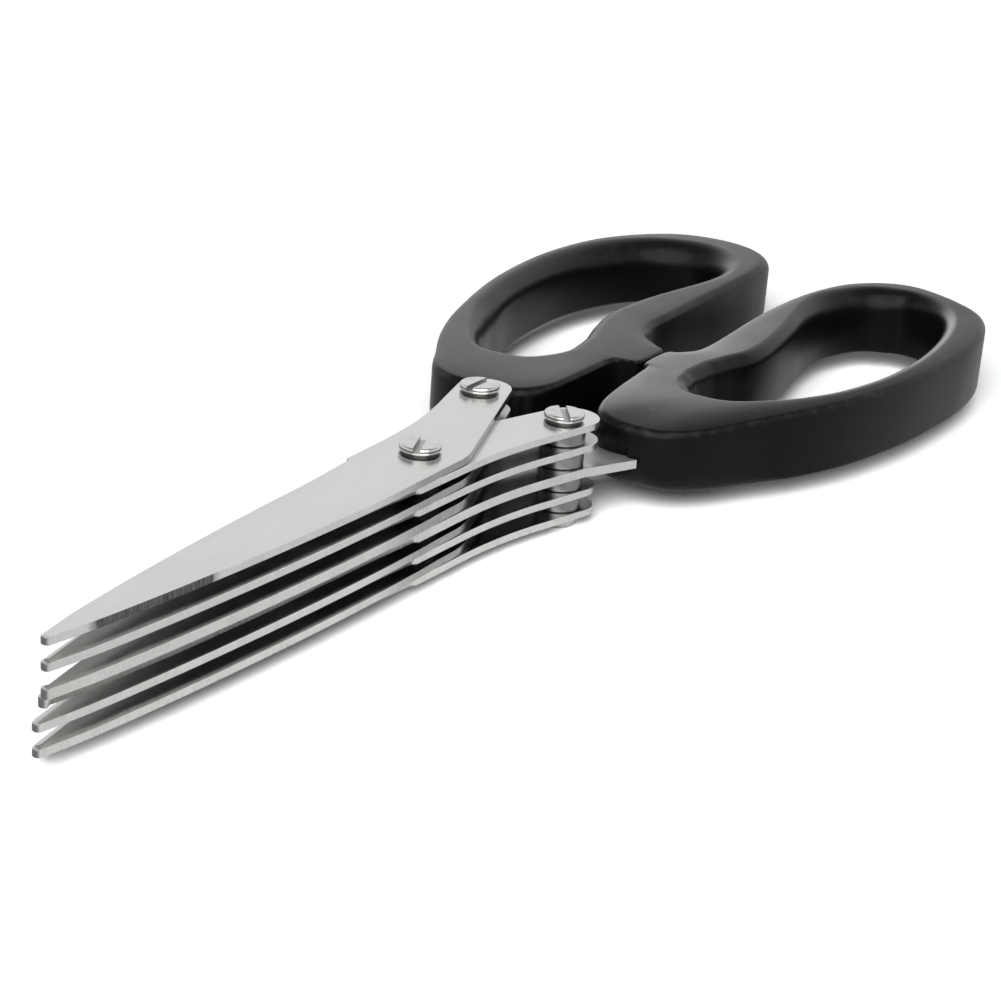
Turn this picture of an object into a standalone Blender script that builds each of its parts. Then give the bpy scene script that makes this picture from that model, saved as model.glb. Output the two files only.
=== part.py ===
"""Herb scissors: five stacked pairs of steel blades that turn on one pivot, with two plastic finger loops.

Metres, +Z up. The origin is on the pivot's axis, in the plane that the three nuts rest on. +X points to
the tips, and +Y to the side of handle_b. Every blade_a piece, with its screw, nut, spacers and handle,
turns about the pivot against the blade_b pieces. The model is made closed.
"""
import math

import bmesh
import bpy
from mathutils import Matrix, Vector

# Stack of blades
PAIRS = 5
MIDDLE_PAIR = 3
PLATE_THICKNESS = 0.0010
MIDDLE_THICKNESS = 0.00125
PAIR_SLIDE_GAP = 0.00005
PAIR_SPACING = 0.0009
SEAT_CLEARANCE = 0.00003
RUNNING_CLEARANCE = 0.00005

# Blade outline, measured from the pivot
BLADE_LENGTH = 0.0736
UPPER_SETBACK = 0.0014
PARTNER_SETBACK = 0.0020
PARTNER_TURN = math.radians(-1.2)
MIDDLE_PARTNER_SETBACK = 0.0003
MIDDLE_PARTNER_TURN = math.radians(-0.5)
SPINE_REACH = 0.0057
EDGE_REACH = 0.0056
HEEL_PLACE = 0.0082
HEEL_RUNOUT = 0.0004
NECK_REACH = 0.0058
TIP_RADIUS = 0.0006
GRIND_WIDTH = 0.0005
EDGE_LAND = 0.00015
TIP_SWEEP = math.radians(75.0)
ELBOW_RADIUS = 0.012

# Tang outline
TANG_BACK = 0.0258
TANG_SPREAD = 0.00665
TANG_HALF_WIDTH = 0.00377
TANG_END_BACK = 0.0018
TANG_END_RISE = 0.00025
TANG_ANGLE = math.radians(18.9)

# Middle blades, which run on into the handles by a stem
SHOULDER_BACK = 0.0337
SHOULDER_OUTER = 0.0142
SHOULDER_INNER = 0.0054
STEM_LENGTH = 0.0135
STEM_OUTER_STEP = 0.0016
STEM_INNER_STEP = 0.0012

# Screws, nuts, spacers and washers
HEAD_RADIUS = 0.00275
HEAD_HEIGHT = 0.00113
HEAD_BEVEL = 0.00032
HEAD_UNDERCUT = 0.00025
SLOT_WIDTH = 0.0010
SLOT_DEPTH = 0.0006
PIVOT_RADIUS = 0.0017
TANG_SCREW_RADIUS = 0.0015
NUT_RADIUS = 0.0027
NUT_HEIGHT = 0.0014
NUT_EDGE_RADIUS = 0.0005
NUT_FLOOR = 0.0005
SPACER_RADIUS = 0.0031
WASHER_RADIUS = 0.0030
PIVOT_SLOT_ANGLE = math.radians(21.0)
SCREW_A_SLOT_ANGLE = math.radians(-1.0)
SCREW_B_SLOT_ANGLE = math.radians(36.0)

# Handles
HANDLE_HEIGHT = 0.0106
HANDLE_FRONT_GAP = 0.0004
HANDLE_EDGE_RADIUS = 0.0015
HANDLE_HOLE_RADIUS = 0.0021
HANDLE_KEEL_RADIUS = 0.0046
HANDLE_KEEL_REACH = 0.0200
HANDLE_A_LENGTH = 0.0991
HANDLE_A_REACH = 0.0391
HANDLE_B_LENGTH = 0.0956
HANDLE_B_REACH = 0.0369
SLOT_CLEARANCE = 0.0001

# Fineness of round shapes, and how far a cutter passes the faces it cuts
CIRCLE_STEPS = 24
ARC_STEPS = 6
HANDLE_ARC_STEPS = 2
HANDLE_CURVE_STEPS = 2
SMOOTH_ANGLE = math.radians(35.0)
CUT_OVERRUN = 0.0005

# Points of the spine, from above the heel to the tip: shares of blade length and of spine reach
SPINE_SHARES = [
    (0.05, 0.99), (0.114, 1.0), (0.228, 0.98), (0.342, 0.922), (0.455, 0.839),
    (0.569, 0.735), (0.683, 0.612), (0.797, 0.467), (0.911, 0.289),
]

# Points of the cutting edge, from the tip back to the heel: shares of blade length and of edge reach
EDGE_SHARES = [
    (0.897, 0.327), (0.817, 0.43), (0.739, 0.535), (0.659, 0.62), (0.577, 0.695),
    (0.493, 0.76), (0.41, 0.805), (0.32, 0.85), (0.23, 0.9), (0.165, 0.96),
]

# Points of the tang's outer edge, from the pivot back: shares of the screw's setback and of the tang's rise
TANG_SHARES = [(0.0, 0.0), (0.16, 0.045), (0.32, 0.13), (0.485, 0.27), (0.647, 0.46), (0.806, 0.695)]

# Stations round each finger loop, from the front by the outer side: shares of handle length and reach for
# the outer wall, then the same for the wall of the hole that faces it
LOOP_A_SHARES = [
    (0.000, 0.255, 0.160, 0.395), (0.000, 0.345, 0.160, 0.450), (0.005, 0.440, 0.165, 0.510),
    (0.035, 0.545, 0.185, 0.565), (0.100, 0.635, 0.225, 0.625), (0.180, 0.740, 0.270, 0.670),
    (0.285, 0.840, 0.340, 0.740), (0.440, 0.940, 0.450, 0.825), (0.570, 0.990, 0.565, 0.870),
    (0.695, 1.000, 0.680, 0.875), (0.815, 0.960, 0.780, 0.825), (0.915, 0.860, 0.855, 0.730),
    (0.980, 0.715, 0.890, 0.605), (1.000, 0.525, 0.893, 0.500), (0.983, 0.342, 0.873, 0.415),
    (0.928, 0.212, 0.835, 0.345), (0.835, 0.170, 0.785, 0.308), (0.725, 0.160, 0.715, 0.312),
    (0.620, 0.160, 0.625, 0.345), (0.515, 0.155, 0.535, 0.375), (0.435, 0.150, 0.450, 0.380),
    (0.375, 0.100, 0.375, 0.340), (0.335, 0.005, 0.330, 0.305), (0.320, -0.035, 0.310, 0.290),
    (0.250, -0.035, 0.260, 0.270), (0.240, 0.005, 0.235, 0.265), (0.225, 0.055, 0.215, 0.270),
    (0.145, 0.065, 0.190, 0.295), (0.060, 0.080, 0.170, 0.325), (0.015, 0.140, 0.160, 0.360),
]
LOOP_B_SHARES = [
    (0.000, 0.270, 0.185, 0.420), (0.000, 0.365, 0.185, 0.460), (0.010, 0.460, 0.190, 0.515),
    (0.050, 0.560, 0.205, 0.570), (0.120, 0.655, 0.230, 0.625), (0.220, 0.785, 0.275, 0.700),
    (0.325, 0.890, 0.350, 0.785), (0.460, 0.965, 0.465, 0.850), (0.585, 0.995, 0.580, 0.865),
    (0.700, 1.000, 0.690, 0.845), (0.805, 0.965, 0.790, 0.795), (0.895, 0.880, 0.865, 0.715),
    (0.950, 0.738, 0.903, 0.615), (0.986, 0.572, 0.916, 0.505), (0.993, 0.430, 0.906, 0.430),
    (0.965, 0.300, 0.885, 0.345), (0.905, 0.195, 0.840, 0.290), (0.795, 0.130, 0.780, 0.260),
    (0.690, 0.110, 0.700, 0.270), (0.580, 0.115, 0.600, 0.315), (0.475, 0.130, 0.490, 0.355),
    (0.410, 0.135, 0.420, 0.355), (0.370, 0.125, 0.370, 0.320), (0.340, 0.080, 0.335, 0.300),
    (0.325, 0.050, 0.315, 0.290), (0.260, 0.050, 0.265, 0.285), (0.245, 0.075, 0.240, 0.295),
    (0.205, 0.085, 0.220, 0.305), (0.125, 0.105, 0.205, 0.335), (0.055, 0.135, 0.190, 0.360),
    (0.015, 0.185, 0.185, 0.390),
]

A_SIDE = -1
B_SIDE = 1


def clear_scene():
    """Remove whatever the file holds."""
    for obj in list(bpy.data.objects):
        bpy.data.objects.remove(obj, do_unlink=True)


def material(name, color, roughness, metallic):
    """A Principled material in one plain colour."""
    made = bpy.data.materials.new(name)
    made.use_nodes = True
    shader = made.node_tree.nodes["Principled BSDF"]
    shader.inputs["Base Color"].default_value = (*color, 1.0)
    shader.inputs["Roughness"].default_value = roughness
    shader.inputs["Metallic"].default_value = metallic
    made.diffuse_color = (*color, 1.0)
    return made


def empty(name):
    """An empty on the pivot's axis that carries one set of pieces."""
    obj = bpy.data.objects.new(name, None)
    bpy.context.collection.objects.link(obj)
    return obj


def finish(name, bm, mat, parent, location=(0, 0, 0)):
    """Turn a bmesh into a named object under its set's empty."""
    bmesh.ops.recalc_face_normals(bm, faces=bm.faces)
    mesh = bpy.data.meshes.new(name)
    bm.to_mesh(mesh)
    bm.free()
    mesh.shade_smooth()
    mesh.set_sharp_from_angle(angle=SMOOTH_ANGLE)
    mesh.materials.append(mat)
    obj = bpy.data.objects.new(name, mesh)
    bpy.context.collection.objects.link(obj)
    obj.location = location
    obj.parent = parent
    return obj


def as_cutter(obj):
    """Hide a cutter from the build and from renders."""
    obj.hide_render = True
    obj.display_type = "WIRE"
    return obj


def cut(obj, cutter):
    """Subtract one object from another with an exact Boolean."""
    modifier = obj.modifiers.new("cut", "BOOLEAN")
    modifier.operation = "DIFFERENCE"
    modifier.solver = "EXACT"
    modifier.object = cutter


def closed_spline(points, subdivisions):
    """Points of a Catmull-Rom curve that runs through a closed ring of points."""
    count = len(points)
    out = []
    for i in range(count):
        before, start, end, after = (points[(i + k) % count] for k in (-1, 0, 1, 2))
        slope = end - before
        bend = before * 2 - start * 5 + end * 4 - after
        twist = start * 3 - before - end * 3 + after
        for step in range(subdivisions):
            t = step / subdivisions
            out.append((start * 2 + slope * t + bend * t ** 2 + twist * t ** 3) / 2)
    return out


def arc(center, radius, start, end, steps=ARC_STEPS):
    """Points along an arc, both ends included."""
    angles = [start + (end - start) * i / steps for i in range(steps + 1)]
    return [center + Vector((math.cos(a), math.sin(a))) * radius for a in angles]


def rounded_corner(before, corner, after, radius, steps=ARC_STEPS):
    """An arc that rounds the corner between two straight runs."""
    to_before = (before - corner).normalized()
    to_after = (after - corner).normalized()
    half = to_before.angle(to_after) / 2
    center = corner + (to_before + to_after).normalized() * (radius / math.sin(half))
    first = corner + to_before * (radius / math.tan(half)) - center
    last = corner + to_after * (radius / math.tan(half)) - center
    turn = first.angle_signed(last)
    start = math.atan2(first.y, first.x)
    return arc(center, radius, start, start - turn, steps)


def circle(center, radius, steps=CIRCLE_STEPS):
    """Points of a full circle."""
    angles = [2 * math.pi * i / steps for i in range(steps)]
    return [center + Vector((math.cos(a), math.sin(a))) * radius for a in angles]


def thickness(level):
    """Thickness of both blades of one level."""
    return MIDDLE_THICKNESS if level == MIDDLE_PAIR else PLATE_THICKNESS


def stack_heights():
    """Bottom and top of every blade, by set and level, counted from the top level down."""
    heights = {}
    z = NUT_HEIGHT + SEAT_CLEARANCE
    for level in range(PAIRS, 0, -1):
        plate = thickness(level)
        heights["b", level] = (z, z + plate)
        z += plate + PAIR_SLIDE_GAP
        heights["a", level] = (z, z + plate)
        z += plate + PAIR_SPACING
    return heights


def tang_outer_reach():
    """How far the tang's outer edge stands from the centre line at its screw."""
    return TANG_SPREAD + TANG_HALF_WIDTH


def tang_end():
    """Centre of the tang's round end, and the angles where it meets the tang's two edges."""
    center = Vector((-TANG_BACK - TANG_END_BACK, TANG_SPREAD + TANG_END_RISE))
    outer_angle = math.pi / 2 - TANG_ANGLE
    return center, outer_angle, outer_angle + math.pi


def stem_sides():
    """Outer side, inner side and back end of a middle blade's stem."""
    return SHOULDER_OUTER - STEM_OUTER_STEP, SHOULDER_INNER + STEM_INNER_STEP, SHOULDER_BACK + STEM_LENGTH


def blade_length(set_name, level):
    """Length of one blade, from the pivot to its tip."""
    length = BLADE_LENGTH
    if level <= MIDDLE_PAIR:
        length -= UPPER_SETBACK
    if set_name == "b":
        length -= MIDDLE_PARTNER_SETBACK if level == MIDDLE_PAIR else PARTNER_SETBACK
    return length


def blade_turn(set_name, level):
    """How far a blade is turned against its tang, which lets a blade_b lie back under its partner's spine."""
    if set_name == "a":
        return 0
    return MIDDLE_PARTNER_TURN if level == MIDDLE_PAIR else PARTNER_TURN


def blade_points(length, turn, stem):
    """Outline of a blade whose tang goes to +Y: contact face points, and how far each is ground in."""
    points = []
    grind = []
    heading = Matrix.Rotation(turn, 2)

    def add(new, ground=0.0):
        points.extend(new)
        grind.extend([ground] * len(new))

    spine = [heading @ Vector((x * length, -y * SPINE_REACH)) for x, y in SPINE_SHARES]
    add(spine)
    tip = heading @ Vector((length - TIP_RADIUS, 0))
    add(arc(tip, TIP_RADIUS, turn - TIP_SWEEP, turn + TIP_SWEEP))
    add([heading @ Vector((x * length, y * EDGE_REACH)) for x, y in EDGE_SHARES], GRIND_WIDTH)
    add([heading @ Vector((HEEL_PLACE + HEEL_RUNOUT, EDGE_REACH))], GRIND_WIDTH)
    add([heading @ Vector((HEEL_PLACE, EDGE_REACH))])
    rise = tang_outer_reach() - NECK_REACH
    flank = [Vector((-x * TANG_BACK, NECK_REACH + y * rise)) for x, y in TANG_SHARES]
    add(flank)
    center, outer_angle, inner_angle = tang_end()
    inner_end = arc(center, TANG_HALF_WIDTH, inner_angle, inner_angle)[0]
    if stem:
        stem_outer, stem_inner, stem_back = stem_sides()
        add([
            Vector((-TANG_BACK, tang_outer_reach())),
            Vector((-SHOULDER_BACK, SHOULDER_OUTER)),
            Vector((-SHOULDER_BACK, stem_outer)),
            Vector((-stem_back, stem_outer)),
            Vector((-stem_back, stem_inner)),
            Vector((-SHOULDER_BACK, stem_inner)),
            Vector((-SHOULDER_BACK, SHOULDER_INNER)),
            inner_end,
        ])
    else:
        add(arc(center, TANG_HALF_WIDTH, outer_angle, inner_angle))
    along = Vector((math.cos(TANG_ANGLE), -math.sin(TANG_ANGLE)))
    reach = (SPINE_REACH + inner_end.y) / math.sin(TANG_ANGLE)
    elbow = inner_end + along * reach
    add(rounded_corner(inner_end, elbow, spine[0], ELBOW_RADIUS))
    return points, grind


def ground_in(points, grind):
    """Outer face points: each ground point moves in, square to the edge there."""
    out = []
    count = len(points)
    for i, point in enumerate(points):
        run = points[(i + 1) % count] - points[i - 1]
        inward = Vector((-run.y, run.x)).normalized()
        out.append(point + inward * grind[i])
    return out


def loop_edges(bm, rings):
    """Side faces between successive rings of vertices."""
    for low, high in zip(rings, rings[1:]):
        count = len(low)
        for i in range(count):
            j = (i + 1) % count
            bm.faces.new((low[i], low[j], high[j], high[i]))


def ring_at(bm, points, z):
    """Vertices of one closed ring at a height."""
    return [bm.verts.new((p.x, p.y, z)) for p in points]


def cap(bm, loops):
    """Fill the area between closed loops of vertices."""
    edges = []
    for loop in loops:
        for i, vert in enumerate(loop):
            edge = bm.edges.get((vert, loop[(i + 1) % len(loop)]))
            edges.append(edge)
    bmesh.ops.triangle_fill(bm, edges=edges, use_beauty=True)


def plate(bm, outlines, holes):
    """A flat plate: outlines as (points, z) from one face to the other, with round holes through."""
    outer = [ring_at(bm, points, z) for points, z in outlines]
    loop_edges(bm, outer)
    inner = []
    for points in holes:
        rings = [ring_at(bm, points, z) for z in (outlines[0][1], outlines[-1][1])]
        loop_edges(bm, rings)
        inner.append(rings)
    cap(bm, [outer[0]] + [rings[0] for rings in inner])
    cap(bm, [outer[-1]] + [rings[-1] for rings in inner])


def mirrored(points, side):
    """Points for the set on the given side."""
    return [Vector((p.x, p.y * side)) for p in points]


def blade(set_name, level, side, heights, mat, parent):
    """One blade, with its flat contact face towards its partner and its cutting edge ground on the other."""
    bottom, top = heights[set_name, level]
    length = blade_length(set_name, level)
    turn = blade_turn(set_name, level)
    points, grind = blade_points(length, turn, level == MIDDLE_PAIR)
    outer_face = mirrored(ground_in(points, grind), side)
    contact_face = mirrored(points, side)
    contact, away = (bottom, top) if set_name == "a" else (top, bottom)
    land = contact + math.copysign(EDGE_LAND, away - contact)
    screw_place = Vector((-TANG_BACK, TANG_SPREAD * side))
    holes = [
        circle(Vector((0, 0)), PIVOT_RADIUS + RUNNING_CLEARANCE),
        circle(screw_place, TANG_SCREW_RADIUS + RUNNING_CLEARANCE),
    ]
    bm = bmesh.new()
    plate(bm, [(contact_face, contact), (contact_face, land), (outer_face, away)], holes)
    return finish(f"blade_{set_name}_{level}", bm, mat, parent)


def turned(profile):
    """A closed turned solid from a profile of (radius, z) points."""
    bm = bmesh.new()
    rings = []
    for radius, z in profile:
        if radius:
            rings.append(ring_at(bm, circle(Vector((0, 0)), radius), z))
        else:
            rings.append([bm.verts.new((0, 0, z))])
    pairs = list(zip(rings, rings[1:]))
    if len(rings[0]) > 1:
        pairs.append((rings[-1], rings[0]))
    for low, high in pairs:
        for i in range(CIRCLE_STEPS):
            j = (i + 1) % CIRCLE_STEPS
            if len(low) == 1:
                bm.faces.new((low[0], high[j], high[i]))
            elif len(high) == 1:
                bm.faces.new((low[i], low[j], high[0]))
            else:
                bm.faces.new((low[i], low[j], high[j], high[i]))
    return bm


def box(size, center):
    """A plain box."""
    bm = bmesh.new()
    bmesh.ops.create_cube(bm, size=1)
    bmesh.ops.scale(bm, vec=size, verts=bm.verts)
    bmesh.ops.translate(bm, vec=center, verts=bm.verts)
    return bm


def screw(name, shank_radius, seat, slot_angle, place, mat, parent):
    """A slotted screw whose head sits on the top blade and whose shank runs down into its nut."""
    head_bottom = seat + SEAT_CLEARANCE
    head_top = head_bottom + HEAD_HEIGHT
    foot = NUT_FLOOR + SEAT_CLEARANCE
    under = HEAD_RADIUS - HEAD_UNDERCUT
    bm = turned([
        (0, foot),
        (shank_radius, foot),
        (shank_radius, head_bottom),
        (under, head_bottom),
        (under, head_bottom + HEAD_UNDERCUT),
        (HEAD_RADIUS, head_bottom + HEAD_UNDERCUT),
        (HEAD_RADIUS, head_top - HEAD_BEVEL),
        (HEAD_RADIUS - HEAD_BEVEL, head_top),
        (0, head_top),
    ])
    obj = finish(name, bm, mat, parent, place)
    length = 2 * (HEAD_RADIUS + CUT_OVERRUN)
    height = SLOT_DEPTH + CUT_OVERRUN
    center = (0, 0, head_top - SLOT_DEPTH + height / 2)
    cutter = finish(f"{name}_slot", box((length, SLOT_WIDTH, height), center), mat, parent, place)
    cutter.rotation_euler = (0, 0, slot_angle)
    cut(obj, as_cutter(cutter))
    return obj


def nut(name, shank_radius, place, mat, parent):
    """A low round nut with a blind bore for the shank, and a rounded lower edge."""
    bore = shank_radius + RUNNING_CLEARANCE
    bend = NUT_RADIUS - NUT_EDGE_RADIUS
    corner = arc(Vector((bend, NUT_EDGE_RADIUS)), NUT_EDGE_RADIUS, -math.pi / 2, 0, HANDLE_ARC_STEPS)
    profile = [(0, 0)] + [(p.x, p.y) for p in corner]
    profile += [(NUT_RADIUS, NUT_HEIGHT), (bore, NUT_HEIGHT), (bore, NUT_FLOOR), (0, NUT_FLOOR)]
    return finish(name, turned(profile), mat, parent, place)


def ring(name, outer, bore, bottom, top, place, mat, parent):
    """A plain round spacer or washer."""
    bm = turned([(outer, bottom), (outer, top), (bore, top), (bore, bottom)])
    return finish(name, bm, mat, parent, place)


def loop_stations(shares, length, reach, side):
    """Outer wall and hole wall points, in matched pairs round a finger loop."""
    def place(x, y):
        return Vector((-SHOULDER_BACK - HANDLE_FRONT_GAP - x * length, y * reach * side))

    outer = closed_spline([place(a, b) for a, b, _, _ in shares], HANDLE_CURVE_STEPS)
    hole = closed_spline([place(c, d) for _, _, c, d in shares], HANDLE_CURVE_STEPS)
    return list(zip(outer, hole))


def keel_radius(outer):
    """Radius of the lower outer shoulder, which grows towards the handle's front."""
    behind_front = -outer.x - SHOULDER_BACK - HANDLE_FRONT_GAP
    nearness = max(0, 1 - behind_front / HANDLE_KEEL_REACH)
    return HANDLE_EDGE_RADIUS + (HANDLE_KEEL_RADIUS - HANDLE_EDGE_RADIUS) * nearness


def handle_section(outer, hole, bottom, top):
    """One section of a loop, from the wall of its hole over the top to its outer wall and back below."""
    width = (outer - hole).length
    across = (outer - hole).normalized()
    quarter = math.pi / 2
    keel = keel_radius(outer)
    corners = [
        (HANDLE_HOLE_RADIUS, top - HANDLE_HOLE_RADIUS, HANDLE_HOLE_RADIUS, 2 * quarter),
        (width - HANDLE_EDGE_RADIUS, top - HANDLE_EDGE_RADIUS, HANDLE_EDGE_RADIUS, quarter),
        (width - keel, bottom + keel, keel, 0),
        (HANDLE_HOLE_RADIUS, bottom + HANDLE_HOLE_RADIUS, HANDLE_HOLE_RADIUS, -quarter),
    ]
    points = []
    for x, z, radius, start in corners:
        for p in arc(Vector((x, z)), radius, start, start - quarter, HANDLE_ARC_STEPS):
            place = hole + across * p.x
            points.append((place.x, place.y, p.y))
    return points


def stem_cutter(name, set_name, side, heights, mat, parent):
    """The slot that a middle blade's stem fits in."""
    bottom, top = heights[set_name, MIDDLE_PAIR]
    stem_outer, stem_inner, stem_back = stem_sides()
    front = -SHOULDER_BACK + CUT_OVERRUN
    back = -stem_back - SLOT_CLEARANCE
    width = stem_outer - stem_inner + 2 * SLOT_CLEARANCE
    height = top - bottom + 2 * SLOT_CLEARANCE
    center = ((front + back) / 2, side * (stem_outer + stem_inner) / 2, (bottom + top) / 2)
    return as_cutter(finish(name, box((front - back, width, height), center), mat, parent))


def handle(set_name, shares, length, reach, side, heights, mat, parent):
    """One plastic finger loop, centred on the middle pair, with a slot for its blade's stem."""
    middle = (heights["b", MIDDLE_PAIR][1] + heights["a", MIDDLE_PAIR][0]) / 2
    bottom = middle - HANDLE_HEIGHT / 2
    top = middle + HANDLE_HEIGHT / 2
    bm = bmesh.new()
    rings = []
    for outer, hole in loop_stations(shares, length, reach, side):
        section = handle_section(outer, hole, bottom, top)
        rings.append([bm.verts.new(p) for p in section])
    loop_edges(bm, rings + rings[:1])
    obj = finish(f"handle_{set_name}", bm, mat, parent)
    cut(obj, stem_cutter(f"handle_{set_name}_slot", set_name, side, heights, mat, parent))
    return obj


def spacers(set_name, side, heights, mat, parent):
    """The round spacers on one tang screw, each between the tangs of two neighbouring levels."""
    place = (-TANG_BACK, TANG_SPREAD * side, 0)
    for level in range(1, PAIRS):
        top = heights[set_name, level][0] - SEAT_CLEARANCE
        bottom = heights[set_name, level + 1][1] + SEAT_CLEARANCE
        bore = TANG_SCREW_RADIUS + RUNNING_CLEARANCE
        ring(f"spacer_{set_name}_{level}", SPACER_RADIUS, bore, bottom, top, place, mat, parent)


def washers(heights, mat, parent):
    """The thin washers on the pivot that keep neighbouring pairs apart."""
    for level in range(1, PAIRS):
        top = heights["b", level][0] - SEAT_CLEARANCE
        bottom = heights["a", level + 1][1] + SEAT_CLEARANCE
        bore = PIVOT_RADIUS + RUNNING_CLEARANCE
        ring(f"pivot_washer_{level}", WASHER_RADIUS, bore, bottom, top, (0, 0, 0), mat, parent)


def build():
    """Make the whole object."""
    clear_scene()
    steel = material("brushed_steel", (0.62, 0.61, 0.59), 0.35, 1.0)
    polished = material("polished_steel", (0.72, 0.71, 0.69), 0.15, 1.0)
    plastic = material("black_plastic", (0.018, 0.017, 0.017), 0.45, 0.0)
    set_a = empty("set_a")
    set_b = empty("set_b")
    heights = stack_heights()
    for level in range(1, PAIRS + 1):
        blade("a", level, A_SIDE, heights, steel, set_a)
        blade("b", level, B_SIDE, heights, steel, set_b)
    screw_a_place = (-TANG_BACK, TANG_SPREAD * A_SIDE, 0)
    screw_b_place = (-TANG_BACK, TANG_SPREAD * B_SIDE, 0)
    top_a = heights["a", 1][1]
    top_b = heights["b", 1][1]
    screw("pivot_screw", PIVOT_RADIUS, top_a, PIVOT_SLOT_ANGLE, (0, 0, 0), polished, set_b)
    screw("screw_a", TANG_SCREW_RADIUS, top_a, SCREW_A_SLOT_ANGLE, screw_a_place, polished, set_a)
    screw("screw_b", TANG_SCREW_RADIUS, top_b, SCREW_B_SLOT_ANGLE, screw_b_place, polished, set_b)
    nut("pivot_nut", PIVOT_RADIUS, (0, 0, 0), polished, set_b)
    nut("nut_a", TANG_SCREW_RADIUS, screw_a_place, polished, set_a)
    nut("nut_b", TANG_SCREW_RADIUS, screw_b_place, polished, set_b)
    spacers("a", A_SIDE, heights, polished, set_a)
    spacers("b", B_SIDE, heights, polished, set_b)
    washers(heights, polished, set_b)
    handle("a", LOOP_A_SHARES, HANDLE_A_LENGTH, HANDLE_A_REACH, A_SIDE, heights, plastic, set_a)
    handle("b", LOOP_B_SHARES, HANDLE_B_LENGTH, HANDLE_B_REACH, B_SIDE, heights, plastic, set_b)


build()
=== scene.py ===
"""Looks of the herb scissors: detailed blades, screws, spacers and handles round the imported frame.

Metres, in the frame of the CAD: +X to the tips, +Y to the side of handle_b, +Z up along the pivot screw.
"""
import math

import bmesh
import bpy
from mathutils import Matrix, Vector


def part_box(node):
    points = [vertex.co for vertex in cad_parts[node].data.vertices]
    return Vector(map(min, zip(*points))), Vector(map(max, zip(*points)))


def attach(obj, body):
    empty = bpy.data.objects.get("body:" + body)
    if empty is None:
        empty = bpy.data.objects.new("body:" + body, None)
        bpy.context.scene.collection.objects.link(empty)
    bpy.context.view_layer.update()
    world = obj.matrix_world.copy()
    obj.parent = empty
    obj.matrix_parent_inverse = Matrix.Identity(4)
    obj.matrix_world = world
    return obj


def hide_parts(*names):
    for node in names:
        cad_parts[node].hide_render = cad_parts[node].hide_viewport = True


MM = 0.001

# Stack of blades
PAIRS = 5
MIDDLE_PAIR = 3
A_SIDE = -1
B_SIDE = 1

# Blade outline, measured from the pivot, as in the CAD
BLADE_LENGTH = 73.6 * MM
UPPER_SETBACK = 1.4 * MM
PARTNER_SETBACK = 2.0 * MM
PARTNER_TURN = math.radians(-1.2)
MIDDLE_PARTNER_SETBACK = 0.3 * MM
MIDDLE_PARTNER_TURN = math.radians(-0.5)
SPINE_REACH = 5.7 * MM
EDGE_REACH = 5.6 * MM
HEEL_PLACE = 8.2 * MM
HEEL_RUNOUT = 0.4 * MM
NECK_REACH = 5.8 * MM
TIP_RADIUS = 0.6 * MM
TIP_SWEEP = math.radians(75.0)
ELBOW_RADIUS = 12.0 * MM
GRIND_WIDTH = 0.5 * MM
EDGE_LAND = 0.15 * MM
RIM_CHAMFER = 0.04 * MM
CUTTING_CHAMFER = 0.01 * MM
TIP_WEAR_RADIUS = 0.2 * MM

# Tangs and the stems of the middle blades
TANG_BACK = 25.8 * MM
TANG_SPREAD = 6.65 * MM
TANG_HALF_WIDTH = 3.77 * MM
TANG_END_BACK = 1.8 * MM
TANG_END_RISE = 0.25 * MM
TANG_ANGLE = math.radians(18.9)
SHOULDER_BACK = 33.7 * MM
SHOULDER_OUTER = 14.2 * MM
SHOULDER_INNER = 5.4 * MM
STEM_LENGTH = 13.5 * MM
STEM_OUTER_STEP = 1.6 * MM
STEM_INNER_STEP = 1.2 * MM

# Screws, nuts, spacers and washers
PIVOT_RADIUS = 1.7 * MM
TANG_SCREW_RADIUS = 1.5 * MM
HEAD_RADIUS = 2.75 * MM
HEAD_BEVEL = 0.32 * MM
HEAD_FLAT_RADIUS = 2.38 * MM
HEAD_UNDERCUT_TOP = 0.30 * MM
HEAD_GROOVE = (0.59 * MM, 0.73 * MM)
SLOT_WIDTH = 1.0 * MM
SLOT_DEPTH = 0.6 * MM
BORE_CLEARANCE = 0.05 * MM
SEAT_CLEARANCE = 0.03 * MM
NUT_FLOOR = 0.5 * MM
NUT_EDGE_RADIUS = 0.5 * MM
RING_CHAMFER = 0.12 * MM
PIVOT_SLOT_ANGLE = math.radians(21.0)
SCREW_A_SLOT_ANGLE = math.radians(-1.0)
SCREW_B_SLOT_ANGLE = math.radians(36.0)

# Handles
HANDLE_FRONT_GAP = 0.4 * MM
HANDLE_FRONT = -SHOULDER_BACK - HANDLE_FRONT_GAP
HANDLE_RIM_RADIUS = 2.1 * MM
HANDLE_SOFT_RIM_RADIUS = 4.2 * MM
HANDLE_SOFT_RIM_START = 0.55
HANDLE_LUG_CREASE_RADIUS = 0.45 * MM
HANDLE_LUG_END = 0.12
HANDLE_FLAT_END = 0.35
HANDLE_CREASE_RADIUS = 1.2 * MM
HANDLE_REAR_CREASE_RADIUS = 2.6 * MM
HANDLE_REAR_START = 0.8
HANDLE_LOWER_RADIUS = 0.6 * MM
HANDLE_REAR_LOWER_RADIUS = 2.4 * MM
HANDLE_KEEL_RADIUS = 4.6 * MM
HANDLE_KEEL_REACH = 20.0 * MM
HANDLE_SLOPES = {"a": math.tan(math.radians(1.8)), "b": math.tan(math.radians(2.2))}
HANDLE_LEAST_SLOPE = math.tan(math.radians(0.4))
HANDLE_OUTER_SLOPES = {"a": HANDLE_LEAST_SLOPE, "b": math.tan(math.radians(6.0))}
HANDLE_OUTER_SOFTNESS = {"a": 1.0, "b": 0.0}
HANDLE_CROWN_SHARE = 0.35
HANDLE_CROWN_SLOPE_SHARE = 0.1
HANDLE_CROWN_ROUND_SHARE = 0.95
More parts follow.
